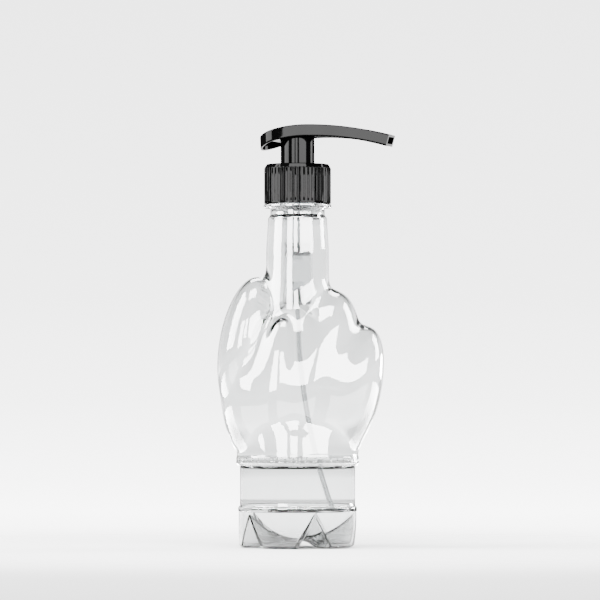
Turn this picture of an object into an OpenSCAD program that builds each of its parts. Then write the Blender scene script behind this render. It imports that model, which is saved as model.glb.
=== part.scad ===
/* [Bottle neck] */
// Height of the bottle's rim above the table
rim_z = 182.6; // [182.2:0.1:183.0]
// Radius of the neck finish below the thread crests
finish_r = 12.6; // [12.4:0.05:12.7]
// Radius of the thread crests
thread_crest_r = 13.65; // [13.4:0.05:13.7]
// Rise of the screw thread in one turn
thread_pitch = 4.23; // [3.9:0.01:4.6]
// Number of thread turns
thread_turns = 1.5; // [1:0.25:1.5]
// Radius of the mouth
mouth_r = 10.8; // [10.7:0.05:11.0]
// Radius of the support ring under the collar
support_r = 16.6; // [15.5:0.1:17.5]
// Radius of the short throat between ring and finger neck
throat_r = 13.3; // [13.1:0.1:13.8]
// Height of the shoulder where the finger neck starts
shoulder_z = 162.2; // [161.5:0.1:163.0]
// Radius at the top of the finger neck
neck_top_r = 14.4; // [14.2:0.1:14.8]
// Radius at the foot of the finger neck
neck_foot_r = 15.3; // [15.0:0.1:15.6]

/* [Bottle body] */
// Wall thickness of the bottle
wall = 1.0; // [0.9:0.05:1.2]
// Softness of the creases between the lobes
crease = 0.45; // [0.35:0.05:0.6]
// Sideways place of the left lobe
left_x = -25.7; // [-27:0.1:-24]
// Height of the left lobe's middle
left_z = 102.4; // [100:0.1:104]
// Half height of the left lobe
left_rz = 30.3; // [28:0.1:32]
// Sideways place of the upper right lobe
upper_x = 12.6; // [11:0.1:14]
// Height of the upper right lobe's middle
upper_z = 102; // [100:0.1:104]
// Half width of the upper right lobe
upper_rx = 15.6; // [14:0.1:17]
// Sideways place of the lower right lobe
lower_x = 27.6; // [26:0.1:29]
// Height of the lower right lobe's middle
lower_z = 80; // [78:0.1:82]
// Half width of the lower right lobe
lower_rx = 12.6; // [11:0.1:14]
// Half depth of the palm
palm_ry = 27; // [25:0.5:29]
// How far the two front ridges stand forward
ridge_y = 19; // [17:0.5:21]

/* [Bottle foot] */
// Radius of the ledge ring
ring_r = 30.05; // [29.9:0.05:30.5]
// Height of the ledge ring's top
ring_top = 44.6; // [44.2:0.1:45.0]
// Number of notches around the ledge ring
notches = 45; // [30:1:48]
// Radius of the plain waist
waist_r = 28.2; // [27.9:0.1:28.4]
// Radius of the foot section
foot_r = 28.8; // [28.6:0.1:29.0]
// Height of the arches between the feet
arch_z = 16.6; // [14:0.1:16.8]
// Turn of the feet about the bottle's axis
foot_turn = 16.5; // [0:0.5:72]

/* [Collar] */
// Outer radius over the ribs
collar_r = 16.4; // [16.2:0.05:17.0]
// Height of the collar's top face
collar_top = 187.8; // [187.7:0.05:188.2]
// Number of grip ribs
ribs = 48; // [36:1:60]
// Depth of the grooves between ribs
groove = 0.55; // [0.3:0.05:0.7]

/* [Pump] */
// Outer radius of the chamber
chamber_r = 7.45; // [7.3:0.05:7.6]
// Height of the chamber's flat bottom
chamber_z = 118.5; // [117:0.1:120]
// Radius of the hollow stem
stem_r = 1.6; // [1.5:0.05:1.8]
// Running clearance between stem and guide bush
stem_gap = 0.06; // [0.03:0.01:0.1]
// Outer radius of the dip tube
tube_r = 1.35; // [1.3:0.05:1.5]
// Radius of the dip tube's long bend
tube_bend = 300; // [280:5:360]
// Height of the dip tube's lower end
tube_end = 17; // [14:0.5:24]
// Wire diameter of the return spring
wire = 0.9; // [0.7:0.05:1.0]
// Number of spring turns
coils = 8; // [6:1:9]

/* [Push head] */
// Turn of the spout about the axis
spout_turn = -22; // [-90:1:90]
// Reach of the spout from the axis
reach = 49.6; // [44:0.1:54]
// Height of the head's highest point
head_top = 206.8; // [206:0.1:207.5]
// Depth of the head's side band
band = 5.7; // [5.2:0.1:6.2]
// Half width of the head at its rounded back
head_w = 12; // [11:0.1:12.5]
// Wall thickness of the head cover
head_wall = 0.9; // [0.7:0.05:1.2]
// Outer radius of the sliding skirt
skirt_r = 8.3; // [8.2:0.05:8.35]

/* [Hidden] */
$fn = 96;
eps = 0.02;

ring_low = ring_top - 4.2;
band_top = 20.3;
band_low = 17.6;
join_z = 134.2;
body_low = 42.6;
lift_gap = 0.15;
seam_z = 164.5;
cone_z = 163.2;
gasket_z = rim_z + lift_gap;
flange_z = gasket_z + 0.85;
cup_flange_z = flange_z + 1.2;
cup_flange_top = cup_flange_z + 1.1;
flange_r = 12.5;
cup_r = mouth_r - 0.3;
cup_in = cup_r - 1.0;
guide_in = skirt_r + 0.3;
guide_low = 169.6;
floor_top = 171.0;
chamber_in = chamber_r - 0.95;
piston_z = 146;
seat_z = 199.2;
socket_z = 190;
stem_top = 197;
ball_top_r = 1.3;
ball_low_r = 1.6;
arc_x = 8;
arc_back = 66;
arc_front = 150;
side_r = 90;
taper = 8.7;
tip_a = asin((reach - arc_x) / arc_front);

// lobes: centre x y z, half sizes x y z, tilt in the front plane
LOBES = [
    [1, 0, 75.8, 37.5, palm_ry, 43, 18],
    [0, 0, 47, 29.2, 29.2, 26, 0],
    [left_x, -1, left_z, 12.1, 17, left_rz, 11.8],
    [upper_x, -2, upper_z, upper_rx, 20, 24.3, 18],
    [lower_x, -1, lower_z, lower_rx, 18, 28.8, 15.7],
    [-9, -ridge_y, 90, 7, 8.5, 27, 4],
    [8, -ridge_y, 86, 7.5, 9, 25, 10],
    [-4, ridge_y - 2, 88, 17, 9, 30, 0]
];

function lobe_gap(b, x, y, z) =
    let (u = (x - b[0]) * cos(b[6]) - (z - b[2]) * sin(b[6]),
         v = (x - b[0]) * sin(b[6]) + (z - b[2]) * cos(b[6]),
         w = y - b[1],
         k0 = norm([u / b[3], w / b[4], v / b[5]]),
         k1 = norm([u / pow(b[3], 2), w / pow(b[4], 2), v / pow(b[5], 2)]))
    k0 * (k0 - 1) / max(k1, 0.000001);

function add(v, i = 0) = i < len(v) ? v[i] + add(v, i + 1) : 0;

function body_gap(x, y, z) =
    let (parts = [for (b = LOBES) exp(-crease * lobe_gap(b, x, y, z))],
         column = exp(-crease * (norm([x, y]) - neck_foot_r - 0.25)))
    -ln(add(parts) + column) / crease;

// distance from the axis to the surface along a ray that starts at height z and climbs by up per mm
function body_r(a, z, up, depth, lo = 0, hi = 60, n = 15) =
    n == 0 ? (lo + hi) / 2 :
    let (m = (lo + hi) / 2)
    body_gap(m * cos(a), m * sin(a), z + m * up) < -depth ?
        body_r(a, z, up, depth, m, hi, n - 1) : body_r(a, z, up, depth, lo, m, n - 1);

function ease(t) = let (c = min(1, max(0, t))) c * c * (3 - 2 * c);

// point of the lobed wall on the ray of one level; levels run from 0 at the ring to 1 at the neck
function shell_point(a, t, depth) =
    let (z = ring_top + (join_z + 1.5 - ring_top) * t,
         climb = 0.75 * ease((t - 0.45) / 0.3) * ease((1 - t) / 0.16),
         start = z - neck_foot_r * climb,
         free = body_r(a, start, climb, depth),
         round_r = ring_r - 0.35 - depth * 0.65,
         low = ease(t * 15),
         r = free * low + round_r * (1 - low))
    [r * cos(a), r * sin(a), start + r * climb];

function ring_points(r, z, n) = [for (j = [0 : n - 1]) [r * cos(j * 360 / n), r * sin(j * 360 / n), z]];

// closed wall between an outer and an inner stack of rings, both listed from low to high
module wall_solid(outer, inner, n) {
    rows = len(outer);
    points = [for (row = outer) each row, for (row = inner) each row];
    base = rows * n;
    function o(i, j) = i * n + (j % n);
    function p(i, j) = base + i * n + (j % n);
    sides = [for (i = [0 : rows - 2], j = [0 : n - 1])
        each [[o(i, j), o(i + 1, j), o(i + 1, j + 1)], [o(i, j), o(i + 1, j + 1), o(i, j + 1)],
              [p(i, j), p(i + 1, j + 1), p(i + 1, j)], [p(i, j), p(i, j + 1), p(i + 1, j + 1)]]];
    ends = [for (j = [0 : n - 1])
        each [[o(0, j), o(0, j + 1), p(0, j + 1)], [o(0, j), p(0, j + 1), p(0, j)],
              [o(rows - 1, j), p(rows - 1, j + 1), o(rows - 1, j + 1)],
              [o(rows - 1, j), p(rows - 1, j), p(rows - 1, j + 1)]]];
    polyhedron(points = points, faces = concat(sides, ends), convexity = 10);
}

module body_shell() {
    n = 60;
    rows = 30;
    function skin(depth) = concat(
        [ring_points(ring_r - 0.35 - depth * 0.65, body_low, n)],
        [for (i = [0 : rows]) [for (j = [0 : n - 1]) shell_point(j * 360 / n, i / rows, depth)]],
        [ring_points(neck_foot_r - 0.3 - depth * 0.5, join_z + 2.1, n),
         ring_points(neck_foot_r - 0.3 - depth * 0.5, join_z + 4, n)]);
    wall_solid(skin(0), skin(wall), n);
}

function valley(a) = abs(((a - foot_turn + 90 + 36 + 720) % 72) - 36);
function foot_z(r) = 0.15 + 2.85 * (1 - ease((r - 6) / 13)) + 1.1 * pow(max(0, r - 26.6) / 2.2, 2);
function strap_z(r) = 3 + (arch_z - 3) * pow(r / foot_r, 2.2);
function under_z(r, a) =
    foot_z(r) + (strap_z(r) - foot_z(r)) * max(0, 1 - valley(a) / 16);
function inner_z(r, a) =
    foot_z(r) + wall + (strap_z(r) + 0.5 - foot_z(r)) * max(0, 1 - valley(a) / 20);

// five feet with arches between them; the under surface is a height over radius and angle
module foot_shell() {
    n = 90;
    radii = [0.4, 7, 13, 19, 23, 26.6, 28];
    inner_radii = [for (r = radii) r * (foot_r - 1.15) / foot_r];
    low = [for (r = radii) [for (j = [0 : n - 1]) let (a = j * 4) [r * cos(a), r * sin(a), under_z(r, a)]]];
    edge = [for (h = [0 : 2]) [for (j = [0 : n - 1])
        let (a = j * 4, s = under_z(foot_r, a)) [foot_r * cos(a), foot_r * sin(a), s + (19 - s) * h / 2]]];
    in_r = foot_r - 1.15;
    low_in = [for (r = inner_radii) [for (j = [0 : n - 1]) let (a = j * 4)
        [r * cos(a), r * sin(a), inner_z(r, a)]]];
    edge_in = [for (h = [0 : 2]) [for (j = [0 : n - 1])
        let (a = j * 4, s = min(18.4, inner_z(in_r, a) + 0.3)) [in_r * cos(a), in_r * sin(a), s + (19 - s) * h / 2]]];
    wall_solid(concat(low, edge), concat(low_in, edge_in), n);
    translate([0, 0, 3]) cylinder(r = 0.6, h = wall);
    for (i = [0 : 4]) rotate([0, 0, foot_turn - 54 + i * 72])
        translate([22.5, 0, 0]) cylinder(r = 3, h = 0.7);
}

// one screw ridge: root radius, crest radius, widths at both, first height, sign of the taper
module ridge(root_r, crest_r, root_w, crest_w, low_z) {
    steps = 45;
    span = 360 * thread_turns;
    function grow(i) = min(1, min(i, steps - i) / 4);
    function section(i) =
        let (a = span * i / steps, z = low_z + thread_pitch * a / 360,
             g = grow(i), c = root_r + (crest_r - root_r) * (0.15 + 0.85 * g), b = root_r * 1.0)
        [[b * cos(a), b * sin(a), z - root_w / 2], [c * cos(a), c * sin(a), z - crest_w / 2],
         [c * cos(a), c * sin(a), z + crest_w / 2], [b * cos(a), b * sin(a), z + root_w / 2]];
    points = [for (i = [0 : steps]) each section(i)];
    turn = crest_r > root_r;
    sides = [for (i = [0 : steps - 1], k = [0 : 3])
        let (p = i * 4 + k, q = i * 4 + (k + 1) % 4)
        each (turn ? [[p, q, q + 4], [p, q + 4, p + 4]] : [[p, q + 4, q], [p, p + 4, q + 4]])];
    last = steps * 4;
    caps = turn ?
        [[0, 2, 1], [0, 3, 2], [last, last + 1, last + 2], [last, last + 2, last + 3]] :
        [[0, 1, 2], [0, 2, 3], [last, last + 2, last + 1], [last, last + 3, last + 2]];
    polyhedron(points = points, faces = concat(sides, caps), convexity = 6);
}

module neck_tube() {
    rotate_extrude() polygon([
        [neck_foot_r - wall + 0.35, 130.6], [neck_foot_r, 130.6], [neck_foot_r, 146],
        [neck_top_r, shoulder_z - 1], [neck_top_r - 0.35, shoulder_z - 0.2],
        [throat_r + 0.3, shoulder_z + 0.25], [throat_r, shoulder_z + 0.8], [throat_r, seam_z],
        [mouth_r, seam_z], [neck_top_r - wall - 0.2, shoulder_z - 1.8], [neck_foot_r - wall - 0.1, 146],
        [neck_foot_r - wall - 0.1, 134.8], [neck_foot_r - wall + 0.35, 134.2]]);
}

module foot_section() {
    difference() {
        rotate_extrude() polygon([
            [waist_r - wall - 0.1, band_low], [foot_r + 0.2, band_low], [foot_r + 0.3, band_low + 0.3],
            [foot_r + 0.3, band_top - 0.6], [waist_r, band_top + 0.2], [waist_r, ring_low - 1.1],
            [waist_r - 0.2, ring_low - 0.7], [waist_r - 0.2, ring_low - 0.2], [ring_r - 0.9, ring_low - 0.2],
            [ring_r - 0.25, ring_low + 0.15], [ring_r, ring_low + 0.9], [ring_r, ring_top - 0.3],
            [ring_r - 0.3, ring_top], [ring_r - 1.3, ring_top], [ring_r - 1.3, ring_low + 1],
            [waist_r - wall - 0.1, ring_low - 0.7]]);
        for (i = [0 : notches - 1]) rotate([0, 0, (i + 0.5) * 360 / notches])
            translate([ring_r + 0.12, 0, ring_top - 2.4]) cylinder(r = 0.5, h = 1.7, $fn = 24);
    }
}

module bottle() color([0.9, 0.95, 0.97, 0.35]) {
    body_shell();
    neck_tube();
    foot_section();
    foot_shell();
}

// the finish of the neck: mouth, screw thread and support ring, one moulding with the bottle
module neck_finish() color([0.9, 0.95, 0.97, 0.35]) {
    rotate_extrude() polygon([
        [throat_r, seam_z], [throat_r, 166.1], [throat_r + 0.4, 166.3], [support_r - 0.3, 166.35],
        [support_r, 166.65], [support_r, 167.8], [support_r - 0.3, 168.1],
        [finish_r + 0.4, 168.2], [finish_r, 168.7], [finish_r, rim_z - 0.4],
        [finish_r - 0.4, rim_z], [mouth_r + 0.3, rim_z], [mouth_r, rim_z - 0.3], [mouth_r, seam_z]]);
    ridge(finish_r - 0.25, thread_crest_r, 2.2, 1.0, 172);
}

module collar() color([0.05, 0.05, 0.055]) {
    low = 168.5;
    difference() {
        rotate_extrude() polygon([
            [thread_crest_r + 0.3, low], [collar_r, low], [collar_r, collar_top - 2.2],
            [collar_r - 1.2, collar_top], [guide_in + 1.2, collar_top], [guide_in + 1.2, cup_flange_top + 0.3],
            [thread_crest_r + 0.3, cup_flange_top + 0.3]]);
        for (i = [0 : ribs - 1]) rotate([0, 0, i * 360 / ribs])
            translate([collar_r - groove, -0.4, low + 0.9]) cube([2, 0.8, collar_top - 2 - low - 0.9]);
    }
    ridge(thread_crest_r + 0.5, finish_r + 0.3, 2.0, 0.9, 172 - thread_pitch / 2);
}

module gasket() color([0.92, 0.92, 0.9])
    rotate_extrude() polygon([
        [cup_r + 0.03, gasket_z], [flange_r - 0.1, gasket_z],
        [flange_r - 0.1, flange_z], [cup_r + 0.03, flange_z]]);

module guide_cup() color([0.06, 0.06, 0.065])
    rotate_extrude() polygon([
        [stem_r + stem_gap, guide_low], [cup_in - 0.6, guide_low], [cup_in + eps, guide_low + 0.9],
        [cup_in + eps, cup_flange_z], [flange_r, cup_flange_z], [flange_r, cup_flange_top],
        [cup_in - 0.1, cup_flange_top], [cup_in - 0.1, collar_top - 0.2], [guide_in, collar_top - 0.2],
        [guide_in, floor_top], [3.0, floor_top], [2.8, 178.4], [stem_r + 0.4, 178.4],
        [stem_r + stem_gap, 178]]);

module housing() color([0.9, 0.93, 0.95, 0.4])
    rotate_extrude() polygon([
        [chamber_in, cone_z], [cup_in - 0.6, 167.6], [cup_in, 168.4], [cup_in, cup_flange_z],
        [flange_r, cup_flange_z], [flange_r, flange_z], [cup_r, flange_z],
        [cup_r, 168], [chamber_r, cone_z + 0.2], [chamber_r, cone_z]]);

// the narrow part of the housing that the piston runs in
module chamber() color([0.9, 0.93, 0.95, 0.4])
    rotate_extrude() polygon([
        [tube_r - eps, chamber_z], [tube_r - eps, chamber_z + 4.6], [0.9, chamber_z + 4.6],
        [0.9, chamber_z + 5.4], [1.7, chamber_z + 6.2], [2.6, chamber_z + 6.2], [2.6, chamber_z + 1.2],
        [chamber_in, chamber_z + 1.2], [chamber_in, cone_z],
        [chamber_r, cone_z], [chamber_r, chamber_z + 1.1], [chamber_r - 1, chamber_z]]);

module ball_cage() color([0.93, 0.94, 0.95, 0.5])
    difference() {
        translate([0, 0, chamber_z + 3.4]) cylinder(r = 3.4, h = 8.2);
        translate([0, 0, chamber_z + 3]) cylinder(r = 2.6 - eps, h = 3.3);
        translate([0, 0, chamber_z + 6]) cylinder(r = 2.0, h = 4.6);
        translate([0, 0, chamber_z + 10]) cylinder(r = 1.0, h = 3);
        for (i = [0 : 2]) rotate([0, 0, i * 120])
            translate([0, -0.5, chamber_z + 8.6]) cube([1.9, 1, 4]);
    }

module inlet_ball() color([0.85, 0.87, 0.9])
    translate([0, 0, chamber_z + 4.53 + sqrt(2) * ball_low_r]) rotate_extrude() intersection() {
        circle(r = ball_low_r);
        translate([0, -5]) square([5, 10]);
    }

module tube_wall() difference() {
    circle(r = tube_r);
    circle(r = tube_r - 0.5);
}

// straight in its socket, then one long gentle bend down to the foot section
module dip_tube() color([0.9, 0.93, 0.95, 0.5]) {
    translate([0, 0, chamber_z]) linear_extrude(height = 4.5) tube_wall();
    translate([tube_bend, 0, chamber_z]) rotate([90, 0, 0]) rotate([0, 0, 180])
        rotate_extrude(angle = asin((chamber_z - tube_end) / tube_bend))
            translate([tube_bend, 0]) tube_wall();
}

// round wire wound on a helix, with closed ends
module spring() {
    steps = coils * 16;
    low = floor_top + wire / 2 + 0.05;
    high = seat_z - wire / 2 - 0.05;
    mid_r = 4.7;
    function rise(t) = t < 1 ? wire * t : t > coils - 1 ? high - low - wire * (coils - t) :
        wire + (high - low - 2 * wire) * (t - 1) / (coils - 2);
    points = [for (i = [0 : steps]) let (t = i / 16, a = t * 360)
        for (k = [0 : 7]) let (q = k * 45, r = mid_r + wire / 2 * cos(q))
        [r * cos(a), r * sin(a), low + rise(t) + wire / 2 * sin(q)]];
    sides = [for (i = [0 : steps - 1], k = [0 : 7]) let (p = i * 8 + k, q = i * 8 + (k + 1) % 8)
        each [[p, q + 8, q], [p, p + 8, q + 8]]];
    caps = [[for (k = [0 : 7]) k], [for (k = [7 : -1 : 0]) steps * 8 + k]];
    color([0.75, 0.76, 0.78]) polyhedron(points = points, faces = concat(sides, caps), convexity = 10);
}

function arc_r(x) = x < arc_x ? arc_back : arc_front;
function arch_at(x, depth) = head_top - arc_r(x) + sqrt(pow(arc_r(x) - depth, 2) - pow(x - arc_x, 2));

// side profile of the arched head between two depths under its top surface
module arch(d0, d1) {
    xs = [for (i = [0 : 40]) arc_x - 30 + i * 2];
    back_to_front = [for (x = xs) [x, arch_at(x, d0)]];
    front_to_back = [for (i = [40 : -1 : 0]) [xs[i], arch_at(xs[i], d1)]];
    polygon(concat(back_to_front, front_to_back));
}

// plan outline: round back, bowed flanks, straight taper to the tip; inset makes the inner one
module plan(inset, back = -40) {
    cx = -7;
    bow_w = head_w - side_r * (1 - cos(taper));
    bow_x = cx + side_r * sin(taper);
    tip_w = bow_w - (reach + 6 - bow_x) * tan(taper) - inset / cos(taper);
    half = concat(
        [for (i = [0 : 30]) let (a = 180 - 3 * i) [cx + (head_w - inset) * cos(a), (head_w - inset) * sin(a)]],
        [for (i = [1 : 4]) let (a = i * taper / 4)
            [cx + (side_r - inset) * sin(a), head_w - side_r + (side_r - inset) * cos(a)]],
        [[reach + 6, tip_w]]);
    n = len(half);
    intersection() {
        polygon(concat(half, [for (i = [n - 1 : -1 : 1]) [half[i][0], -half[i][1]]]));
        translate([back, -30]) square([120, 60]);
    }
}

module arched_block(inset, d0, d1, back = -40) {
    intersection() {
        translate([0, 0, head_top - 40]) linear_extrude(height = 50) plan(inset, back);
        translate([0, 30, 0]) rotate([90, 0, 0]) linear_extrude(height = 60) arch(d0, d1);
        translate([arc_x, 0, head_top - arc_front]) rotate([0, tip_a, 0])
            translate([-120, -40, 60]) cube([120, 80, 200]);
    }
}

module head_cover() color([0.05, 0.05, 0.055]) rotate([0, 0, spout_turn])
    difference() {
        arched_block(0, 0, band);
        intersection() {
            translate([0, 0, head_top - 40]) linear_extrude(height = 50) plan(head_wall);
            translate([0, 30, 0]) rotate([90, 0, 0]) linear_extrude(height = 60) arch(1.0, band + 3);
        }
    }

module spout_body() color([0.055, 0.055, 0.06]) {
    difference() {
        union() {
            rotate([0, 0, spout_turn]) arched_block(head_wall - eps, band - 1.3, band - 0.1, -9.2);
            rotate([0, 0, spout_turn]) intersection() {
                arched_block(head_wall - eps, 1.0 - eps, band - 0.1, -9.2);
                translate([-9.2, -20, 190]) cube([1.0, 40, 20]);
            }
            intersection() {
                translate([0, 0, 184.8]) cylinder(r = skirt_r, h = 18);
                rotate([0, 0, spout_turn]) translate([0, 30, 0]) rotate([90, 0, 0])
                    linear_extrude(height = 60) arch(band - 1.3, band + 20);
            }
        }
        translate([0, 0, 184]) cylinder(r = skirt_r - 1.2, h = seat_z - 184);
        translate([0, 0, seat_z - 1]) cylinder(r = stem_r + 0.15, h = 2);
        translate([0, 0, seat_z]) cylinder(r = 0.9, h = 8);
        for (i = [0 : 2]) rotate([0, 0, i * 120])
            translate([0, -0.35, seat_z + 0.6]) cube([1.6, 0.7, 8]);
    }
    difference() {
        translate([0, 0, socket_z]) cylinder(r = 3.3, h = seat_z + 0.4 - socket_z);
        translate([0, 0, socket_z - 1]) cylinder(r = stem_r - eps, h = stem_top + 1 - socket_z);
        translate([0, 0, stem_top - 0.1]) cylinder(r = stem_r + 0.15, h = 8);
    }
}

module stem() color([0.92, 0.93, 0.94, 0.6])
    rotate_extrude() polygon([
        [0.8, piston_z - 2], [stem_r, piston_z - 2], [stem_r, stem_top], [0.8, stem_top]]);

module piston_seal() color([0.93, 0.94, 0.95, 0.6])
    rotate_extrude() polygon([
        [stem_r - eps, piston_z - 1], [chamber_in - 1.2, piston_z - 1],
        [chamber_in - 0.7, piston_z - 2.8], [chamber_in - 0.04, piston_z - 3],
        [chamber_in - 0.04, piston_z - 2.2], [chamber_in - 0.5, piston_z],
        [chamber_in - 0.04, piston_z + 2.4], [chamber_in - 0.04, piston_z + 3.2],
        [chamber_in - 0.7, piston_z + 3], [chamber_in - 1.4, piston_z + 1],
        [stem_r + 1, piston_z + 1], [stem_r - eps, piston_z + 3]]);

module piston_plug() color([0.92, 0.93, 0.94, 0.6])
    difference() {
        union() {
            translate([0, 0, piston_z - 5]) cylinder(r = 2.6, h = 2.8);
            translate([0, 0, piston_z - 3]) cylinder(r = 0.8 + eps, h = 3);
        }
        for (i = [0 : 2]) rotate([0, 0, i * 120])
            translate([0.35, -0.3, piston_z - 6]) cube([0.8, 0.6, 8]);
    }

module outlet_ball() color([0.75, 0.76, 0.78])
    translate([0, 0, stem_top + sqrt(pow(ball_top_r, 2) - 0.64) + 0.03]) rotate_extrude() intersection() {
        circle(r = ball_top_r);
        translate([0, -5]) square([5, 10]);
    }

bottle();
neck_finish();
collar();
gasket();
guide_cup();
housing();
chamber();
ball_cage();
inlet_ball();
dip_tube();
spring();
head_cover();
spout_body();
stem();
piston_seal();
piston_plug();
outlet_ball();
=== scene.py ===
import math

import bmesh
import bpy
import numpy as np
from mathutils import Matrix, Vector


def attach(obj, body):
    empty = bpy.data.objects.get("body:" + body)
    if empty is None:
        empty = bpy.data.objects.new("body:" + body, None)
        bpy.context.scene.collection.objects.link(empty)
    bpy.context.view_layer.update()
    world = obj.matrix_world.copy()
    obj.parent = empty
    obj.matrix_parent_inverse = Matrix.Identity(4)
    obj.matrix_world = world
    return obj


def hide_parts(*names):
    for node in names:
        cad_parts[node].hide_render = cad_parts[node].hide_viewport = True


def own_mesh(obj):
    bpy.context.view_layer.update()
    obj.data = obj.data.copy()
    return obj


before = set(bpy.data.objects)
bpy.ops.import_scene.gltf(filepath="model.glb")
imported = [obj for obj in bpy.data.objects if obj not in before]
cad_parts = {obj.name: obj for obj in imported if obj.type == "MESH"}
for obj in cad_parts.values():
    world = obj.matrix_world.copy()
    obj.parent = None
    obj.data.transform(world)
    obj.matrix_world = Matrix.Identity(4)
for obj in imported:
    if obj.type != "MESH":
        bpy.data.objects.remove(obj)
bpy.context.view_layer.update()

MM = 0.001
TAU = 2 * math.pi

# ---------------------------------------------------------------- shape numbers, in mm and degrees
# A number that part.scad names too has the same value there, but for two rows of LOBES.
RIM_Z = 182.6
FINISH_R = 12.6
THREAD_R = 13.65
PITCH = 4.23
THREAD_Z = 172
THREAD_SPAN = 540
MOUTH_R = 10.8
NECK_TOP_R = 14.4
NECK_R = 15.3
BODY_TOP = 135.7
WALL = 1.0
CREASE = 0.45
RING_R = 30.05
RING_TOP = 44.6
TICKS = 45
TICK_DEPTH = 0.85
WAIST_R = 28.2
FOOT_R = 28.8
ARCH_Z = 16.6
FOOT_STEP = 360 / 5
FOOT_TURN = 16.5
FOOT_TOP = 17.5
COLLAR_R = 16.4
COLLAR_TOP = 187.8
COLLAR_BORE = 13.95
RIBS = 48
RIB_DEPTH = 0.22
CHAMBER_R = 7.45
CHAMBER_IN = 6.5
CHAMBER_Z = 118.5
STEM_R = 1.6
TUBE_R = 1.35
TUBE_WALL = 0.5
TUBE_BEND = 300
TUBE_END = 17
SPOUT_TURN = math.radians(-22)
REACH = 49.6
HEAD_TOP = 206.8
BAND = 5.7
HEAD_W = 12
HEAD_WALL = 0.9
BACK_X = -7.0
BACK_WALL_X = -9.2
SKIRT_R = 8.3
ARC_X, ARC_BACK, ARC_FRONT = 8, 66, 150
SIDE_R = 90
TAPER = math.radians(8.7)
TIP_A = math.asin((REACH - ARC_X) / ARC_FRONT)

# Lobes of the body: centre x y z, half sizes x y z, tilt in the front plane. The sixth and seventh are
# low ridges in front, shallower than the CAD's, and the last one fills out the back.
LOBES = np.array([
    [1, 0, 75.8, 37.5, 27, 43, 18],
    [0, 0, 47, 29.2, 29.2, 26, 0],
    [-25.7, -1, 102.4, 12.1, 17, 30.3, 11.8],
    [12.6, -2, 102, 15.6, 20, 24.3, 18],
    [27.6, -1, 80, 12.6, 18, 28.8, 15.7],
    [-9, -17.2, 84, 7.5, 7.3, 27, 4],
    [8, -17.2, 82, 8, 7.7, 25, 10],
    [-4, 17, 88, 17, 9, 30, 0],
])


# ---------------------------------------------------------------- mesh helpers

def new_object(name, mesh):
    obj = bpy.data.objects.new(name, mesh)
    bpy.context.scene.collection.objects.link(obj)
    return obj


def finish_mesh(obj, sharp=32):
    """Smooth shading with sharp edges where the surface turns by more than that many degrees."""
    bm = bmesh.new()
    bm.from_mesh(obj.data)
    bmesh.ops.remove_doubles(bm, verts=bm.verts, dist=1e-7)
    bmesh.ops.recalc_face_normals(bm, faces=bm.faces)
    limit = math.radians(sharp)
    for f in bm.faces:
        f.smooth = True
    for e in bm.edges:
        e.smooth = len(e.link_faces) != 2 or e.calc_face_angle(0) < limit
    bm.to_mesh(obj.data)
    bm.free()
    obj.data.update()
    return obj


def sheet(name, rings, around=True, loop=False, sharp=32):
    """A closed mesh from a grid of rings in mm.

    around closes each ring; loop joins the last ring to the first, else flat caps close the ends.
    """
    rings = np.asarray(rings, float)
    count, n = rings.shape[:2]
    verts = (rings.reshape(-1, 3) * MM).tolist()
    i = np.arange(count if loop else count - 1)[:, None]
    j = np.arange(n if around else n - 1)[None, :]
    i2, j2 = (i + 1) % count, (j + 1) % n
    faces = np.stack([i * n + j + 0 * i2, i * n + j2, i2 * n + j2, i2 * n + j], -1).reshape(-1, 4).tolist()
    if around and not loop:
        faces.append(list(range(n))[::-1])
        faces.append([(count - 1) * n + k for k in range(n)])
    if loop and not around:
        faces.append([k * n for k in range(count)])
        faces.append([k * n + n - 1 for k in range(count)][::-1])
    mesh = bpy.data.meshes.new(name)
    mesh.from_pydata(verts, [], faces)
    return finish_mesh(new_object(name, mesh), sharp)


def rounded(points, steps=4):
    """A profile of (r, z, corner radius) points, with each corner that has a radius made a curve."""
    out = []
    pts = [np.array(p[:2], float) for p in points]
    n = len(pts)
    for k, p in enumerate(points):
        rad = p[2] if len(p) > 2 else 0
        a, b, c = pts[k - 1], pts[k], pts[(k + 1) % n]
        if rad <= 0:
            out.append(b)
            continue
        u, v = a - b, c - b
        lu, lv = np.linalg.norm(u), np.linalg.norm(v)
        u, v = u / lu, v / lv
        half = math.acos(max(-1, min(1, float(u @ v)))) / 2
        cut = min(rad / math.tan(half), 0.45 * lu, 0.45 * lv)
        start, end = b + u * cut, b + v * cut
        for s in range(steps + 1):
            t = s / steps
            out.append((1 - t) ** 2 * start + 2 * t * (1 - t) * b + t * t * end)
    return np.array(out)


def lathe(name, points, n=128):
    """A closed ring-shaped solid from a closed (r, z, corner radius) profile."""
    prof = rounded(points)
    a = np.arange(n) * TAU / n
    rings = np.stack([prof[:, :1] * np.cos(a), prof[:, :1] * np.sin(a),
                      np.repeat(prof[:, 1:2], n, 1)], -1)
    return sheet(name, rings, loop=True)


def ease(t):
    """A smooth step from 0 to 1."""
    t = np.clip(t, 0, 1)
    return t * t * (3 - 2 * t)


def ridge_height(z, turn, low, half, flank):
    """Height, 0 to 1, of a screw ridge at level z over the turn; it fades in and out at its ends."""
    height = np.zeros(len(turn))
    for k in (0, 1):
        along = turn + 360 * k
        centre = low + PITCH * along / 360
        ramp = np.clip(np.minimum(along, THREAD_SPAN - along) / 45, 0, 1)
        height = np.maximum(height, ramp * np.clip((half - np.abs(z - centre)) / flank, 0, 1))
    return height


# ---------------------------------------------------------------- bottle

def off_line(angle, step):
    """Degrees from the nearest odd half step: a half, one and a half, and so on."""
    return np.abs(((angle + 720) % step) - step / 2)


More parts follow.
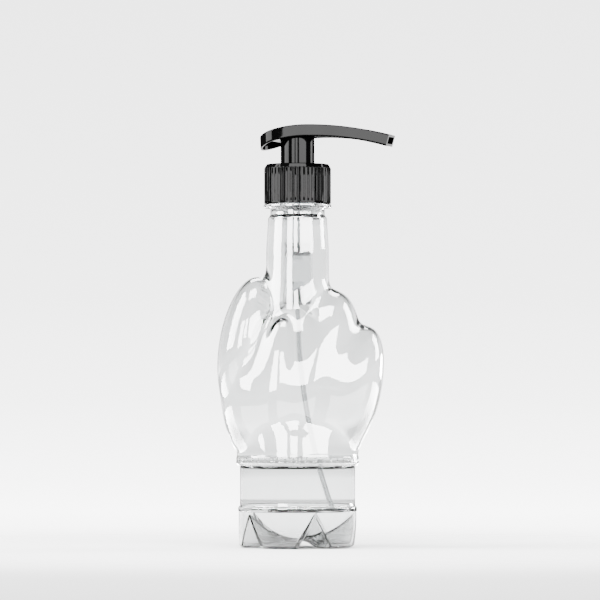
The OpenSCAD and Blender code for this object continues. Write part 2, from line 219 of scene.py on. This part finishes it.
def body_gap(x, y, z):
    """Distance from the lobed surface, below 0 inside; the lobes and the neck blend into each other."""
    total = np.exp(-CREASE * (np.hypot(x, y) - NECK_R))
    for cx, cy, cz, ax, ay, az, tilt in LOBES:
        c, s = math.cos(math.radians(tilt)), math.sin(math.radians(tilt))
        u = (x - cx) * c - (z - cz) * s
        v = (x - cx) * s + (z - cz) * c
        w = y - cy
        k0 = np.sqrt((u / ax) ** 2 + (w / ay) ** 2 + (v / az) ** 2)
        k1 = np.sqrt((u / ax ** 2) ** 2 + (w / ay ** 2) ** 2 + (v / az ** 2) ** 2)
        total = total + np.exp(-CREASE * k0 * (k0 - 1) / np.maximum(k1, 1e-6))
    return -np.log(total) / CREASE


def body_rows(ts, angles, depth):
    """Points of the lobed wall, a depth inside its surface, at levels ts from the ring, 0, to 1."""
    t = np.asarray(ts)[:, None]
    a = np.asarray(angles)[None, :]
    z = RING_TOP + (BODY_TOP - RING_TOP) * t + 0 * a
    climb = 0.75 * ease((t - 0.45) / 0.3) * ease((1 - t) / 0.16) + 0 * a
    start = z - NECK_R * climb
    lo, hi = np.zeros_like(z), np.full_like(z, 60.0)
    ca, sa = np.cos(a), np.sin(a)
    for _ in range(24):
        mid = (lo + hi) / 2
        inside = body_gap(mid * ca, mid * sa, start + mid * climb) < -depth
        lo = np.where(inside, mid, lo)
        hi = np.where(inside, hi, mid)
    free = (lo + hi) / 2
    round_r = RING_R - 0.35 - depth * 0.9
    low = ease(t * 15)
    r = free * low + round_r * (1 - low)
    return np.stack([r * ca, r * sa, start + r * climb], -1)


def valley(a):
    """Degrees from the middle of the nearest gap between two feet."""
    return off_line(a - FOOT_TURN + 90 + FOOT_STEP / 2, FOOT_STEP)


def soft_ramp(x, w):
    """max(0, x) with its corner rounded over w."""
    return 0.5 * (x + np.sqrt(x * x + w * w))


def foot_z(r):
    """Height of the under surface along the middle of a foot."""
    return 0.15 + 2.85 * (1 - ease((r - 6) / 13)) + 1.1 * (np.maximum(0, r - 26.6) / 2.2) ** 2


def strap_z(r):
    """Height of the under surface along the middle of a gap between two feet."""
    return 3 + (ARCH_Z - 3) * (r / FOOT_R) ** 2.2


def under_z(r, a, spread=16.0, rise=0.0):
    """Height of the under surface: feet, and arched gaps between them of spread degrees to a side."""
    g = np.clip(soft_ramp(1 - valley(a) / spread, 0.03), 0, 1)
    return foot_z(r) + (strap_z(r) + rise - foot_z(r)) * g


def make_bottle():
    """One wall from the middle of the base up the outside, over the rim and down the inside."""
    n = 360
    shift = -73.5
    waist_in = WAIST_R - 1.1
    deg = shift + np.arange(n) * 360 / n
    rad = np.radians(deg)
    ca, sa = np.cos(rad), np.sin(rad)

    def ring(r, z):
        r, z = np.broadcast_to(r, (n,)), np.broadcast_to(z, (n,))
        return np.stack([r * ca, r * sa, z], -1)

    def floor_ring(r):
        return ring(r, np.minimum(FOOT_TOP - 0.2, under_z(r, deg, 19.5, 0.6) + WALL))

    outer = []
    pad_angle = off_line(deg - FOOT_TURN + 90, FOOT_STEP)
    for r in np.concatenate([[0.6], np.arange(2, 26, 1.5), np.linspace(26, FOOT_R, 7)]):
        z = under_z(r, deg)
        pad = np.clip(1.4 - np.hypot(r - 22.5, np.radians(pad_angle) * 22.5) / 3, 0, 1)
        outer.append(ring(r, z - 0.15 * ease(pad * 2.5)))
    edge = under_z(FOOT_R, deg)
    for h in np.linspace(0.06, 1, 9):
        outer.append(ring(FOOT_R, edge + (FOOT_TOP - edge) * h))
    low_prof = rounded([
        (FOOT_R, FOOT_TOP + 0.05), (FOOT_R + 0.3, 17.75, 0.15), (FOOT_R + 0.3, 19.7, 0.5),
        (WAIST_R, 20.5, 0.7), (WAIST_R, 24), (WAIST_R, 30), (WAIST_R, 36),
        (WAIST_R, 39.3, 0.1), (WAIST_R, 40.1, 0.05), (RING_R - 0.8, 40.2, 0.2),
        (RING_R, 41.2, 0.8), (RING_R, 42.1)], 3)[:-1]
    outer += [ring(r, z) for r, z in low_prof]
    notch = np.clip(1.2 - off_line(deg + 180 / TICKS - shift, 360 / TICKS), 0, 1)
    for z, depth in [(42.1, 0), (42.5, 0.85), (43.0, 1), (43.5, 0.85), (43.9, 0)]:
        outer.append(ring(RING_R - TICK_DEPTH * depth * notch, z))
    outer += [ring(RING_R, 44.25), ring(RING_R - 0.1, 44.5), ring(RING_R - 0.3, RING_TOP)]
    outer += list(body_rows(np.linspace(0.004, 1, 112), rad, 0))
    neck_prof = rounded([
        (NECK_R, 138), (NECK_R, 142), (NECK_R, 146, 6), (NECK_TOP_R, 161.2, 0.6), (13.6, 162.45, 0.4),
        (13.3, 163, 0.3), (13.3, 166.1, 0.2), (16.3, 166.35, 0.1), (16.6, 166.65, 0.25),
        (16.6, 167.8, 0.25), (16.3, 168.1, 0.1), (13.0, 168.2, 0.2), (FINISH_R, 168.7, 0.3),
        (FINISH_R, 169.6)], 3)
    outer += [ring(r, z) for r, z in neck_prof[:-1]]
    turn = (deg - shift) % 360
    for z in np.arange(169.8, 181.2, 0.24):
        height = ridge_height(z, turn, THREAD_Z, 1.1, 0.6)
        outer.append(ring(FINISH_R + (THREAD_R - FINISH_R) * height, z))
    rim_prof = rounded([
        (FINISH_R, 181.6), (FINISH_R, RIM_Z, 0.4), (MOUTH_R, RIM_Z, 0.35), (MOUTH_R, 170),
        (MOUTH_R, 162.8, 0.3), (13.3, 161.2, 0.2), (13.6, 157, 1),
        (14.2, 146, 4), (14.2, 138)], 3)
    outer += [ring(r, z) for r, z in rim_prof]
    inner = list(body_rows(np.linspace(1, 0.004, 96), rad, WALL + 0.1))
    in_prof = rounded([
        (RING_R - 1.3, 44.4, 0), (RING_R - 1.35, 41.6, 0.6), (waist_in, 40.2, 0.02),
        (waist_in - 1.1, 40.15, 0.01), (waist_in, 38.85, 0.02), (waist_in, 34),
        (waist_in, 28), (waist_in, 22), (waist_in, 20.2, 0)], 4)
    inner += [ring(r, z) for r, z in in_prof]
    bead = ease((28 * ca + 17) / 5) * ease(0.5 - 2 * sa)
    in_r = FOOT_R - 1.2
    inner += [ring(waist_in, 19.75), ring(waist_in - 1.35 * bead, 19.7), ring(in_r, 17.6)]
    in_edge = floor_ring(in_r)[:, 2]
    for h in np.linspace(1, 0.06, 6):
        inner.append(ring(in_r, in_edge + (FOOT_TOP - in_edge) * h))
    for r in np.concatenate([np.linspace(FOOT_R, 26, 7), np.arange(24.5, 1.9, -1.5), [0.6]]):
        inner.append(floor_ring(r * in_r / FOOT_R))
    return sheet("bottle_shell", np.array(outer + inner), sharp=28)


bottle = make_bottle()


# ---------------------------------------------------------------- collar

def make_collar():
    """Ribbed skirt, chamfer and top outside; the flange's seat and the screw ridge inside."""
    per = 14
    n = RIBS * per
    a = np.arange(n) * TAU / n
    turn = np.degrees(a)
    phase = (np.arange(n) % per) / per
    groove = np.clip((0.23 - np.abs(phase - 0.5)) / 0.07, 0, 1)
    prof = [(COLLAR_BORE, 168.5, 0), (COLLAR_R - 0.15, 168.5, 0), (COLLAR_R, 168.65, 0),
            (COLLAR_R, 169.3, 0), (COLLAR_R, 169.45, 0.6), (COLLAR_R, 169.65, 1), (COLLAR_R, 175, 1),
            (COLLAR_R, 181, 1), (COLLAR_R, 185.35, 1), (COLLAR_R, 185.6, 0.75),
            (COLLAR_R - 0.1, 185.85, 0.25), (COLLAR_R - 0.25, 186.05, 0),
            (COLLAR_R - 1.0, 187.35, 0), (COLLAR_R - 1.15, 187.6, 0),
            (COLLAR_R - 1.35, 187.76, 0), (COLLAR_R - 1.6, COLLAR_TOP, 0), (13, COLLAR_TOP, 0),
            (10.1, COLLAR_TOP, 0), (9.85, 187.72, 0), (9.8, 187.5, 0), (9.8, 186.2, 0),
            (13.8, 186.2, 0), (COLLAR_BORE, 186.0, 0)]
    rings = []
    for r, z, depth in prof:
        rr = r - RIB_DEPTH * depth * groove
        rings.append(np.stack([rr * np.cos(a), rr * np.sin(a), np.full(n, z)], -1))
    for z in np.arange(178.5, 168.6, -0.3):
        rr = COLLAR_BORE - 1.05 * ridge_height(z, turn, THREAD_Z - PITCH / 2, 1.0, 0.55)
        rings.append(np.stack([rr * np.cos(a), rr * np.sin(a), np.full(n, z)], -1))
    return sheet("collar_shell", np.array(rings), loop=True, sharp=30)


collar = make_collar()


# ---------------------------------------------------------------- push head

def arc_r(x):
    """Radius of the head's top arc, shorter behind ARC_X than in front of it."""
    return np.where(x < ARC_X, ARC_BACK, ARC_FRONT)


def arch_z(x, depth):
    """Height of the head's arched side profile at a depth under its top surface."""
    r = arc_r(x)
    return HEAD_TOP - r + np.sqrt((r - depth) ** 2 - (x - ARC_X) ** 2)


def outline(inset, n=240):
    """Points (x, y) of the head's plan from the tip's near side round the back to its far side."""
    bow_w = HEAD_W - SIDE_R * (1 - math.cos(TAPER))
    bow_x = BACK_X + SIDE_R * math.sin(TAPER)
    pts = []
    back = HEAD_W - inset
    for a in np.linspace(math.pi, math.pi / 2, 60):
        pts.append((BACK_X + back * math.cos(a), back * math.sin(a)))
    for a in np.linspace(0, TAPER, 24)[1:]:
        side = SIDE_R - inset
        pts.append((BACK_X + side * math.sin(a), HEAD_W - SIDE_R + side * math.cos(a)))
    tip_w = bow_w - (REACH - bow_x) * math.tan(TAPER) - inset / math.cos(TAPER)
    last = np.array(pts[-1])
    for t in np.linspace(0, 1, 40)[1:]:
        pts.append(tuple(last * (1 - t) + np.array([REACH, tip_w]) * t))
    half = np.array(pts)
    mirror = half[1:][::-1] * [1, -1]
    return np.vstack([mirror, half])


def head_point(xy, depth):
    """The point under plan point xy at a depth below the arched top; the tip's end leans with the arch."""
    x, y = xy[:, 0], xy[:, 1]
    lean = math.sin(TIP_A) * ease((x - ARC_X) / (REACH - ARC_X)) - 0.06 * ease((-2 - x) / 17)
    px = x - lean * depth
    c, s = math.cos(SPOUT_TURN), math.sin(SPOUT_TURN)
    return np.stack([px * c - y * s, px * s + y * c, arch_z(px, depth)], -1)


def spine(xy):
    """The points of the head's middle line beside each plan point."""
    return np.stack([np.clip(xy[:, 0], -8.0, REACH), 0 * xy[:, 1]], -1)


def make_head_cover():
    """The arched shell: lower edge, side band, rounded top edge, top, and the same inside."""
    edge = 0.45
    rows = []

    def row(xy, depth):
        rows.append(head_point(xy, depth))

    row(outline(HEAD_WALL), BAND - 0.02)
    row(outline(HEAD_WALL - 0.1), BAND)
    row(outline(0.12), BAND)
    row(outline(0.03), BAND - 0.06)
    for d in (BAND - 0.2, 4.4, 3.2, 2.0, 1.0):
        row(outline(0), d)
    for k in range(6):
        t = k / 5 * math.pi / 2
        row(outline(edge * (1 - math.cos(t))), edge * (1 - math.sin(t)))
    top = outline(edge)
    mid = spine(top)
    for t in (0.15, 0.3, 0.45, 0.6, 0.75, 0.88, 1.0):
        row(top * (1 - t) + mid * t, 0.0)
    roof = outline(HEAD_WALL + 0.25)
    mid_in = spine(roof)
    for t in (1.0, 0.7, 0.4, 0.15, 0.0):
        row(roof * (1 - t) + mid_in * t, 1.0)
    row(outline(HEAD_WALL + 0.06), 1.1)
    for d in (1.4, 2.8, 4.2):
        row(outline(HEAD_WALL), d)
    return sheet("head_shell", np.array(rows), around=False, loop=True, sharp=30)


head_cover = make_head_cover()


def make_spout_plate():
    """The closing plate under the channel, from behind the skirt to the tip."""
    xy = outline(HEAD_WALL - 0.02)
    xy[:, 0] = np.maximum(xy[:, 0], BACK_WALL_X)
    mid = spine(xy)
    mid[:, 0] = np.maximum(mid[:, 0], -8.6)
    rows = []
    for t in (1.0, 0.6, 0.3, 0.06):
        rows.append(head_point(xy * (1 - t) + mid * t, 4.4))
    rows.append(head_point(xy * 0.995 + mid * 0.005, 4.42))
    rows.append(head_point(xy, 4.5))
    rows.append(head_point(xy, 5.45))
    rows.append(head_point(xy * 0.99 + mid * 0.01, 5.6))
    for t in (0.1, 0.35, 0.65, 1.0):
        rows.append(head_point(xy * (1 - t) + mid * t, 5.6))
    return sheet("spout_plate", np.array(rows), around=False, loop=True, sharp=30)


spout_plate = make_spout_plate()


def make_back_wall():
    """The wall that closes the channel behind the skirt."""
    ys = np.linspace(-10.7, 10.7, 24)
    rows = []
    for x, d in [(BACK_WALL_X, 0.98), (BACK_WALL_X, 3.0), (BACK_WALL_X, 5.0), (-9.1, 5.55),
                 (-8.3, 5.55), (-8.2, 5.0), (-8.2, 3.0), (-8.2, 0.98)]:
        rows.append(head_point(np.stack([np.full_like(ys, x), ys], -1), d))
    return sheet("spout_back_wall", np.array(rows), around=False, loop=True, sharp=30)


back_wall = make_back_wall()

skirt = lathe("spout_skirt", [
    (SKIRT_R - 1.2, 184.8, 0.25), (SKIRT_R, 184.8, 0.4), (SKIRT_R, 188), (SKIRT_R, 192), (SKIRT_R, 197),
    (SKIRT_R - 0.02, 201.4, 0.05), (3.4, 201.4, 0.05), (1.0, 201.4, 0.05), (1.0, 200.2, 0.1),
    (1.75, 200.2, 0.05), (1.75, 197.0, 0.05), (1.58, 197.0, 0.05), (1.58, 190, 0.2), (3.3, 190, 0.3),
    (3.3, 199.2, 0.4), (SKIRT_R - 1.2, 199.2, 0.4)], n=144)

# ---------------------------------------------------------------- pump parts

guide = lathe("guide_cup_shell", [
    (1.66, 169.6, 0.2), (8.9, 169.6, 0.2), (9.52, 170.5, 0.2), (9.52, 184.8, 0.1), (12.5, 184.8, 0.2),
    (12.5, 185.9, 0.2), (9.4, 185.9, 0.2), (9.4, 187.6, 0.2), (8.6, 187.6, 0.25), (8.6, 171, 0.5),
    (3.0, 171, 0.5), (2.8, 178.4, 0.2), (2.0, 178.4, 0.15), (1.66, 178, 0.1)], n=144)

housing = lathe("housing_shell", [
    (1.33, CHAMBER_Z, 0.1), (1.33, CHAMBER_Z + 4.6, 0.05), (0.9, CHAMBER_Z + 4.6, 0.05),
    (0.9, CHAMBER_Z + 5.4, 0.05), (1.7, CHAMBER_Z + 6.2, 0.05), (2.6, CHAMBER_Z + 6.2, 0.15),
    (2.6, CHAMBER_Z + 1.2, 0.4), (CHAMBER_IN, CHAMBER_Z + 1.2, 0.6), (CHAMBER_IN, 130),
    (CHAMBER_IN, 146), (CHAMBER_IN, 163.2, 1.0),
    (8.9, 167.6, 0.8), (9.5, 168.4, 0.4), (9.5, 184.8, 0.1), (12.5, 184.8, 0.15), (12.5, 183.6, 0.15),
    (10.5, 183.6, 0.1), (10.5, 168, 1.2), (CHAMBER_R, 163.4, 1.2), (CHAMBER_R, 146), (CHAMBER_R, 130),
    (CHAMBER_R, CHAMBER_Z + 1.1, 0.1), (CHAMBER_R - 1.0, CHAMBER_Z, 0.1)])

gasket = lathe("gasket_ring", [
    (10.53, 182.75, 0.15), (12.4, 182.75, 0.2), (12.4, 183.6, 0.2), (10.53, 183.6, 0.15)])

stem = lathe("stem_rod", [
    (0.8, 144, 0.1), (STEM_R, 144, 0.15), (STEM_R, 160), (STEM_R, 180), (STEM_R, 197, 0.15),
    (0.8, 197, 0.1)], n=48)

piston = lathe("piston_ring", [
    (1.58, 145, 0.1), (5.3, 145, 0.3), (5.8, 143.2, 0.2), (6.46, 143, 0.1), (6.46, 143.8, 0.2),
    (6.0, 146, 0.5), (6.46, 148.4, 0.2), (6.46, 149.2, 0.1), (5.8, 149, 0.2), (5.1, 147, 0.4),
    (2.6, 147, 0.4), (1.58, 149, 0.1)], n=96)


def swept(name, path, radius, sides, inner=None):
    """A round wire along a path in mm, or a tube where inner is given, with its path in the xz plane."""
    path = np.asarray(path, float)
    tangent = np.gradient(path, axis=0)
    tangent /= np.linalg.norm(tangent, axis=1)[:, None]
    up = np.array([0.0, 1.0, 0.0]) if inner else np.array([0.0, 0.0, 1.0])
    side = np.cross(up, tangent)
    side /= np.linalg.norm(side, axis=1)[:, None]
    normal = np.cross(tangent, side)
    q = np.arange(sides) * TAU / sides

    def ring_at(k, r):
        return path[k] + r * (np.cos(q)[:, None] * side[k] + np.sin(q)[:, None] * normal[k])

    rings = [ring_at(k, radius) for k in range(len(path))]
    if inner is None:
        return sheet(name, np.array(rings), sharp=40)
    rings += [ring_at(k, inner) for k in reversed(range(len(path)))]
    return sheet(name, np.array(rings), loop=True, sharp=40)


bend = math.asin((CHAMBER_Z - TUBE_END) / TUBE_BEND)
tube_path = [(0, 0, CHAMBER_Z + 4.5 - 1.5 * k) for k in range(3)]
tube_path += [(TUBE_BEND * (1 - math.cos(t)), 0, CHAMBER_Z - TUBE_BEND * math.sin(t))
              for t in np.linspace(0, bend, 70)]
dip_tube = swept("dip_tube_bent", tube_path, TUBE_R, 32, TUBE_R - TUBE_WALL)


def make_spring():
    """A compression spring with one closed coil at each end."""
    coils, wire, mid = 8, 0.9, 4.7
    low, high = 171 + wire / 2 + 0.05, 199.2 - wire / 2 - 0.05
    t = np.linspace(0, coils, coils * 40 + 1)
    free = wire + (high - low - 2 * wire) * (t - 1) / (coils - 2)
    rise = np.where(t < 1, wire * t, np.where(t > coils - 1, high - low - wire * (coils - t), free))
    path = np.stack([mid * np.cos(TAU * t), mid * np.sin(TAU * t), low + rise], -1)
    return swept("spring_wire", path, wire / 2, 12)


spring = make_spring()

# ---------------------------------------------------------------- materials

def material(name):
    """A new node material, with its tree, its Principled shader and its links."""
    m = bpy.data.materials.new(name)
    m.use_nodes = True
    nt = m.node_tree
    return m, nt, nt.nodes["Principled BSDF"], nt.links


def noise(nt, scale, detail=3, stretch=(1, 1, 1)):
    """Noise over the object's own coordinates, mostly between 0.3 and 0.7."""
    coords = nt.nodes.new("ShaderNodeTexCoord")
    mapping = nt.nodes.new("ShaderNodeMapping")
    mapping.inputs["Scale"].default_value = stretch
    tex = nt.nodes.new("ShaderNodeTexNoise")
    tex.inputs["Scale"].default_value = scale
    tex.inputs["Detail"].default_value = detail
    nt.links.new(coords.outputs["Object"], mapping.inputs["Vector"])
    nt.links.new(mapping.outputs["Vector"], tex.inputs["Vector"])
    return tex.outputs["Fac"]


def spread(nt, value, low, high):
    """The noise value spread between two numbers."""
    m = nt.nodes.new("ShaderNodeMapRange")
    m.inputs["From Min"].default_value = 0.3
    m.inputs["From Max"].default_value = 0.7
    m.inputs["To Min"].default_value = low
    m.inputs["To Max"].default_value = high
    nt.links.new(value, m.inputs["Value"])
    return m.outputs["Result"]


def tint(nt, value, dark, light):
    """The noise value turned into a colour between two colours."""
    ramp = nt.nodes.new("ShaderNodeValToRGB")
    ramp.color_ramp.elements[0].position = 0.3
    ramp.color_ramp.elements[0].color = (*dark, 1)
    ramp.color_ramp.elements[1].position = 0.7
    ramp.color_ramp.elements[1].color = (*light, 1)
    nt.links.new(value, ramp.inputs["Fac"])
    return ramp.outputs["Color"]


def grey(v):
    """A colour with all three parts alike."""
    return v, v, v


def bump(nt, height, shader, strength, distance):
    """Roughen a shader's surface with a height value."""
    b = nt.nodes.new("ShaderNodeBump")
    b.inputs["Strength"].default_value = strength
    b.inputs["Distance"].default_value = distance
    nt.links.new(height, b.inputs["Height"])
    nt.links.new(b.outputs["Normal"], shader.inputs["Normal"])


def black_gloss():
    """Polished near-black plastic; its mirror part is weak because the lights are strong."""
    m, nt, sh, links = material("black_gloss")
    links.new(tint(nt, noise(nt, 60, 2), grey(0.0001), grey(0.0003)), sh.inputs["Base Color"])
    sh.inputs["Specular IOR Level"].default_value = 0.0
    sh.inputs["Roughness"].default_value = 0.6
    mirror = nt.nodes.new("ShaderNodeBsdfGlossy")
    links.new(spread(nt, noise(nt, 160, 4), 0.03, 0.08), mirror.inputs["Roughness"])
    links.new(tint(nt, noise(nt, 40, 3), grey(0.0306), grey(0.0347)), mirror.inputs["Color"])
    bump(nt, noise(nt, 240, 2), mirror, 0.02, 0.0004)
    facing = nt.nodes.new("ShaderNodeFresnel")
    facing.inputs["IOR"].default_value = 1.5
    mix = nt.nodes.new("ShaderNodeMixShader")
    links.new(facing.outputs["Fac"], mix.inputs["Fac"])
    links.new(sh.outputs["BSDF"], mix.inputs[1])
    links.new(mirror.outputs["BSDF"], mix.inputs[2])
    links.new(mix.outputs["Shader"], nt.nodes["Material Output"].inputs["Surface"])
    return m


def clear(name, colour, low, high, ior, wave, wave_scale):
    """Clear plastic with slightly wavy walls and faint changes of tint and polish."""
    m, nt, sh, links = material(name)
    links.new(tint(nt, noise(nt, 25, 2), tuple(c * 0.985 for c in colour), colour), sh.inputs["Base Color"])
    links.new(spread(nt, noise(nt, 90, 3), low, high), sh.inputs["Roughness"])
    sh.inputs["Transmission Weight"].default_value = 1.0
    sh.inputs["IOR"].default_value = ior
    bump(nt, noise(nt, wave_scale, 1, (1, 1, 0.6)), sh, wave, 0.001)
    return m


pet = clear("clear_pet", (0.705, 0.715, 0.715), 0.0, 0.015, 1.5, 0.05, 45)
natural = clear("natural_plastic", (0.84, 0.85, 0.855), 0.01, 0.05, 1.45, 0.03, 80)
milky = clear("milky_plastic", (0.62, 0.63, 0.635), 0.05, 0.12, 1.45, 0.03, 80)
black = black_gloss()


def seal_white():
    """Dull white plastic for the gasket."""
    m, nt, sh, links = material("seal_plastic")
    links.new(tint(nt, noise(nt, 120, 3), (0.72, 0.72, 0.7), (0.82, 0.82, 0.8)), sh.inputs["Base Color"])
    links.new(spread(nt, noise(nt, 200, 3), 0.4, 0.55), sh.inputs["Roughness"])
    bump(nt, noise(nt, 500, 2), sh, 0.1, 0.0003)
    return m


def steel():
    """Drawn steel wire."""
    m, nt, sh, links = material("spring_steel")
    drawn = noise(nt, 300, 3, (1, 1, 4))
    links.new(tint(nt, drawn, (0.45, 0.45, 0.46), (0.62, 0.62, 0.64)), sh.inputs["Base Color"])
    sh.inputs["Metallic"].default_value = 1.0
    links.new(spread(nt, noise(nt, 400, 3), 0.16, 0.3), sh.inputs["Roughness"])
    bump(nt, noise(nt, 900, 2), sh, 0.08, 0.0002)
    return m


white, wire_steel = seal_white(), steel()


def wear(obj, mat, slot_name, body, *nodes):
    """Give a piece its material and its body, and hide the CAD nodes that it stands for."""
    obj.data.materials.clear()
    obj.data.materials.append(mat)
    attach(obj, body)
    if nodes:
        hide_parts(*nodes)


wear(bottle, pet, "clear_pet", "bottle", "bottle", "neck_finish")
wear(collar, black, "black_gloss", "collar", "collar")
wear(head_cover, black, "black_gloss", "head", "head_cover")
wear(skirt, black, "black_gloss", "head", "spout_body")
wear(spout_plate, black, "black_gloss", "head")
wear(back_wall, black, "black_gloss", "head")
wear(guide, black, "black_gloss", "pump_body", "guide_cup")
wear(housing, natural, "natural_plastic", "pump_body", "housing", "chamber")
wear(gasket, white, "seal_plastic", "pump_body", "gasket")
wear(dip_tube, milky, "natural_plastic", "pump_body", "dip_tube")
wear(stem, natural, "natural_plastic", "head", "stem")
wear(piston, natural, "natural_plastic", "head", "piston_seal")
wear(spring, wire_steel, "spring_steel", "spring", "spring")
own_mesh(spring)

carried_over = {"ball_cage": natural, "piston_plug": natural, "inlet_ball": natural,
                "outlet_ball": wire_steel}
for node, mat in carried_over.items():
    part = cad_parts[node]
    part.data.materials.clear()
    part.data.materials.append(mat)

# ---------------------------------------------------------------- floor, light and camera

def make_floor():
    """A round sheet of pale paper just under the feet that fades out into the backdrop."""
    n = 96
    a = np.arange(n) * TAU / n
    rings = np.array([np.stack([r * np.cos(a), r * np.sin(a), np.full(n, -0.05)], -1)
                      for r in np.concatenate([[1.0], np.linspace(20, 700, 40)])])
    verts = (rings.reshape(-1, 3) * MM).tolist()
    faces = [[i * n + j, i * n + (j + 1) % n, (i + 1) * n + (j + 1) % n, (i + 1) * n + j]
             for i in range(len(rings) - 1) for j in range(n)]
    faces.append(list(range(n)))
    mesh = bpy.data.meshes.new("floor")
    mesh.from_pydata(verts, [], faces)
    mesh.update()
    obj = new_object("floor", mesh)
    m, nt, sh, links = material("floor_paper")
    links.new(tint(nt, noise(nt, 8, 2), grey(0.195), grey(0.205)), sh.inputs["Base Color"])
    sh.inputs["Roughness"].default_value = 0.6
    coords = nt.nodes.new("ShaderNodeTexCoord")
    length = nt.nodes.new("ShaderNodeVectorMath")
    length.operation = "LENGTH"
    links.new(coords.outputs["Object"], length.inputs[0])
    fade = nt.nodes.new("ShaderNodeMapRange")
    fade.interpolation_type = "SMOOTHSTEP"
    fade.inputs["From Min"].default_value = 0.05
    fade.inputs["From Max"].default_value = 0.4
    fade.inputs["To Min"].default_value = 1
    fade.inputs["To Max"].default_value = 0
    links.new(length.outputs["Value"], fade.inputs["Value"])
    links.new(fade.outputs["Result"], sh.inputs["Alpha"])
    obj.data.materials.append(m)


make_floor()


def panel(name, azimuth, height, distance, width, tall, radiance):
    """A soft light at that azimuth in degrees, 0 in front and 90 to the right, facing the object."""
    data = bpy.data.lights.new(name, "AREA")
    data.shape = "RECTANGLE"
    data.size, data.size_y = width, tall
    data.energy = radiance * 4 * width * tall
    obj = bpy.data.objects.new(name, data)
    bpy.context.scene.collection.objects.link(obj)
    a = math.radians(azimuth)
    obj.location = (distance * math.sin(a), -distance * math.cos(a), height)
    aim = Vector((0, 0, 0.11)) - obj.location
    obj.rotation_euler = aim.to_track_quat("-Z", "Y").to_euler()
    obj.visible_camera = False
    obj.visible_transmission = False


LAMP = 90
# name, azimuth in degrees, then height, distance, width and tall in metres, and the share of LAMP
PANELS = [
    ("front_left_outer", -29.5, 0.35, 1.2, 0.42, 0.54, 1),
    ("front_left_inner", -7, 0.40, 1.2, 0.28, 0.42, 1),
    ("front_right", 35, 0.40, 1.2, 1.14, 0.42, 1),
    ("side_left", -81, 0.62, 1.0, 0.75, 1.0, 1),
    ("side_right", 110, 0.55, 1.0, 0.42, 0.72, 0.8),
    ("overhead", 0, 1.25, 0.55, 0.9, 0.5, 1),
    ("overhead_back", 180, 1.05, 0.6, 0.8, 0.4, 0.45),
    ("tip_card", 138, 0.095, 0.9, 0.25, 0.13, 1),
]
# a low ring of six, so that black parts seen from behind or above still show their shape
PANELS += [("low_%d" % turn, turn, -0.36, 1.2, 0.9, 0.6, 0.6 if 90 < turn < 270 else 0.16)
           for turn in range(0, 360, 60)]
for *place, share in PANELS:
    panel(*place, share * LAMP)


def make_world():
    """The backdrop that the camera sees, straight or through clear plastic, and a plain grey room."""
    world = bpy.data.worlds.new("studio")
    bpy.context.scene.world = world
    world.use_nodes = True
    nt = world.node_tree
    nt.nodes.clear()
    links = nt.links
    coords = nt.nodes.new("ShaderNodeTexCoord")
    split = nt.nodes.new("ShaderNodeSeparateXYZ")
    links.new(coords.outputs["Generated"], split.inputs["Vector"])
    ramp = nt.nodes.new("ShaderNodeValToRGB")
    stretch = nt.nodes.new("ShaderNodeMapRange")
    stretch.inputs["From Min"].default_value = -0.1
    stretch.inputs["From Max"].default_value = 0.1
    links.new(split.outputs["Z"], stretch.inputs["Value"])
    links.new(stretch.outputs["Result"], ramp.inputs["Fac"])
    # places on the ramp, from low to high, and the tones there in tenths
    tones = [(0.02, 2.6), (0.25, 2.7), (0.30, 3.4), (0.335, 6.4), (0.37, 7.9), (0.41, 6.8), (0.5, 5.4),
             (0.62, 4.5), (0.96, 3.85)]
    while len(ramp.color_ramp.elements) < len(tones):
        ramp.color_ramp.elements.new(0.5)
    for e, (pos, tone) in zip(ramp.color_ramp.elements, tones):
        e.position = pos
        e.color = (*grey(tone / 10), 1)
    steep = nt.nodes.new("ShaderNodeMath")
    steep.operation = "ABSOLUTE"
    links.new(split.outputs["Z"], steep.inputs[0])
    falloff = nt.nodes.new("ShaderNodeMapRange")
    falloff.interpolation_type = "SMOOTHSTEP"
    falloff.inputs["From Min"].default_value = 0.16
    falloff.inputs["From Max"].default_value = 0.38
    falloff.inputs["To Min"].default_value = 10
    falloff.inputs["To Max"].default_value = 0.1
    links.new(steep.outputs["Value"], falloff.inputs["Value"])
    seen = nt.nodes.new("ShaderNodeBackground")
    links.new(ramp.outputs["Color"], seen.inputs["Color"])
    links.new(falloff.outputs["Result"], seen.inputs["Strength"])
    room = nt.nodes.new("ShaderNodeBackground")
    room.inputs["Color"].default_value = (0.5, 0.5, 0.5, 1)
    path = nt.nodes.new("ShaderNodeLightPath")
    either = nt.nodes.new("ShaderNodeMath")
    either.operation = "MAXIMUM"
    links.new(path.outputs["Is Camera Ray"], either.inputs[0])
    links.new(path.outputs["Is Transmission Ray"], either.inputs[1])
    mix = nt.nodes.new("ShaderNodeMixShader")
    links.new(either.outputs["Value"], mix.inputs["Fac"])
    links.new(room.outputs["Background"], mix.inputs[1])
    links.new(seen.outputs["Background"], mix.inputs[2])
    out = nt.nodes.new("ShaderNodeOutputWorld")
    links.new(mix.outputs["Shader"], out.inputs["Surface"])


make_world()


def make_camera():
    """A long lens from just above the base, looking slightly up."""
    data = bpy.data.cameras.new("camera")
    data.lens = 257
    data.sensor_width = 36
    camera = bpy.data.objects.new("camera", data)
    bpy.context.scene.collection.objects.link(camera)
    aside = 0.0012
    camera.location = (aside, -2.1, 0.072)
    target = Vector((aside, 0, 0.1212))
    camera.rotation_euler = (target - camera.location).to_track_quat("-Z", "Y").to_euler()
    bpy.context.scene.camera = camera


make_camera()
